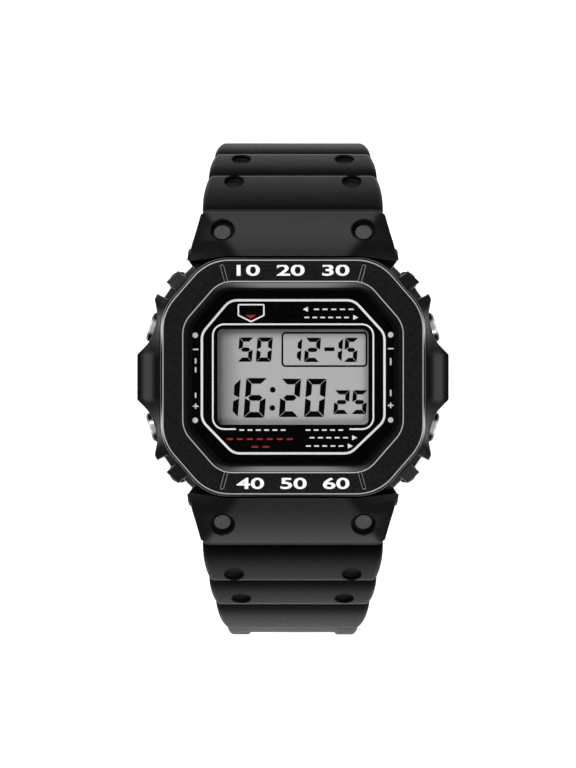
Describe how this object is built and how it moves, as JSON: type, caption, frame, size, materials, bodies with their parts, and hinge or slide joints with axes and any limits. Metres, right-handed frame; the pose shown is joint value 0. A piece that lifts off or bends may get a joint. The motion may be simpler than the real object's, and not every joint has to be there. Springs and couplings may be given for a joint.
{
  "type": "digital sport watch",
  "caption": "Square digital watch with an octagonal bezel, side push buttons and an open resin strap with ridges, keeper and prong buckle.",
  "frame": {"origin": "centre of the back plate's outer face", "axes": "+Z out of the dial, +Y to 12 o'clock, +X to 3 o'clock"},
  "size_m": [0.044, 0.0739, 0.0686],
  "materials": {
    "case_resin": "satin black moulded resin",
    "bezel_resin": "fine-grained black resin with polished edges",
    "strap_resin": "soft black resin, satin with a fine grain",
    "keeper_resin": "soft black resin",
    "stud_grey": "rough dark grey",
    "window_glass": "clear mineral glass",
    "mask_black": "black print",
    "lcd_grey": "grey reflective display",
    "light_panel": "pale light-emitting sheet",
    "zebra_rubber": "striped contact rubber",
    "frame_plastic": "natural moulded plastic",
    "board_green": "green board varnish",
    "chip_black": "black potting",
    "can_metal": "tinned can",
    "contact_brass": "plain brass",
    "cell_steel": "nickel-plated steel",
    "spring_steel": "spring wire",
    "tube_steel": "turned stainless steel",
    "bar_steel": "drawn stainless steel",
    "screw_steel": "turned stainless steel",
    "back_steel": "brushed stainless steel",
    "button_chrome": "polished steel",
    "buckle_steel": "satin stainless steel",
    "seal_rubber": "black seal rubber",
    "cushion_rubber": "dark grey rubber"
  },
  "bodies": {
    "case": {"case_center": "case_resin", "bezel": "bezel_resin", "bezel_screws": "screw_steel", "glass": "window_glass", "glass_gasket": "seal_rubber", "display_mask": "mask_black", "lcd_panel": "lcd_grey", "zebra_strips": "zebra_rubber", "backlight_panel": "light_panel", "module_frame": "frame_plastic", "circuit_board": "board_green", "chip": "chip_black", "quartz_crystal": "can_metal", "switch_contacts": "contact_brass", "battery": "cell_steel", "battery_clip": "cell_steel", "buzzer_disc": "contact_brass", "buzzer_spring": "spring_steel", "module_cushion": "cushion_rubber", "case_back_gasket": "seal_rubber", "case_back": "back_steel", "case_back_screws": "screw_steel", "button_tubes": "tube_steel", "spring_bars": "bar_steel", "button_2_spring": "spring_steel", "button_4_spring": "spring_steel", "button_8_spring": "spring_steel", "button_10_spring": "spring_steel"},
    "button_2": {"button_2": "button_chrome", "button_2_seal": "seal_rubber", "button_2_clip": "spring_steel"},
    "button_4": {"button_4": "button_chrome", "button_4_seal": "seal_rubber", "button_4_clip": "spring_steel"},
    "button_8": {"button_8": "button_chrome", "button_8_seal": "seal_rubber", "button_8_clip": "spring_steel"},
    "button_10": {"button_10": "button_chrome", "button_10_seal": "seal_rubber", "button_10_clip": "spring_steel"},
    "strap_12": {"strap_buckle_half": "strap_resin", "strap_studs_12": "stud_grey", "buckle_pin": "bar_steel"},
    "strap_6": {"strap_tip_half": "strap_resin", "strap_studs_6": "stud_grey"},
    "buckle": {"buckle_frame": "buckle_steel"},
    "prong": {"prong": "buckle_steel"},
    "keeper": {"keeper": "keeper_resin"}
  },
  "joints": [
    {"name": "button_2_push", "type": "slide", "parent": "case", "child": "button_2", "axis": [-0.9563, -0.2924, 0], "range_m": [0, 0.0008], "stiffness_N_per_m": 900, "springref_m": -0.0006, "deforming": ["button_2_spring"]},
    {"name": "button_4_push", "type": "slide", "parent": "case", "child": "button_4", "axis": [-0.9563, 0.2924, 0], "range_m": [0, 0.0008], "stiffness_N_per_m": 900, "springref_m": -0.0006, "deforming": ["button_4_spring"]},
    {"name": "button_8_push", "type": "slide", "parent": "case", "child": "button_8", "axis": [0.9563, 0.2924, 0], "range_m": [0, 0.0008], "stiffness_N_per_m": 900, "springref_m": -0.0006, "deforming": ["button_8_spring"]},
    {"name": "button_10_push", "type": "slide", "parent": "case", "child": "button_10", "axis": [0.9563, -0.2924, 0], "range_m": [0, 0.0008], "stiffness_N_per_m": 900, "springref_m": -0.0006, "deforming": ["button_10_spring"]},
    {"name": "strap_12_hinge", "type": "hinge", "parent": "case", "child": "strap_12", "pos_m": [0, 0.0204, 0.0041], "axis": [-1, 0, 0], "range_deg": [-1.5, 12]},
    {"name": "strap_6_hinge", "type": "hinge", "parent": "case", "child": "strap_6", "pos_m": [0, -0.0204, 0.0041], "axis": [1, 0, 0], "range_deg": [-1.5, 12]},
    {"name": "buckle_hinge", "type": "hinge", "parent": "strap_12", "child": "buckle", "pos_m": [0, -0.00254, -0.03497], "axis": [-1, 0, 0], "range_deg": [-30, 95]},
    {"name": "prong_hinge", "type": "hinge", "parent": "buckle", "child": "prong", "pos_m": [0, -0.00254, -0.03497], "axis": [1, 0, 0], "range_deg": [0, 45]},
    {"name": "keeper_slide", "type": "slide", "parent": "strap_12", "child": "keeper", "axis": [0, 1, 0], "range_m": [-0.0015, 0.0009]}
  ]
}
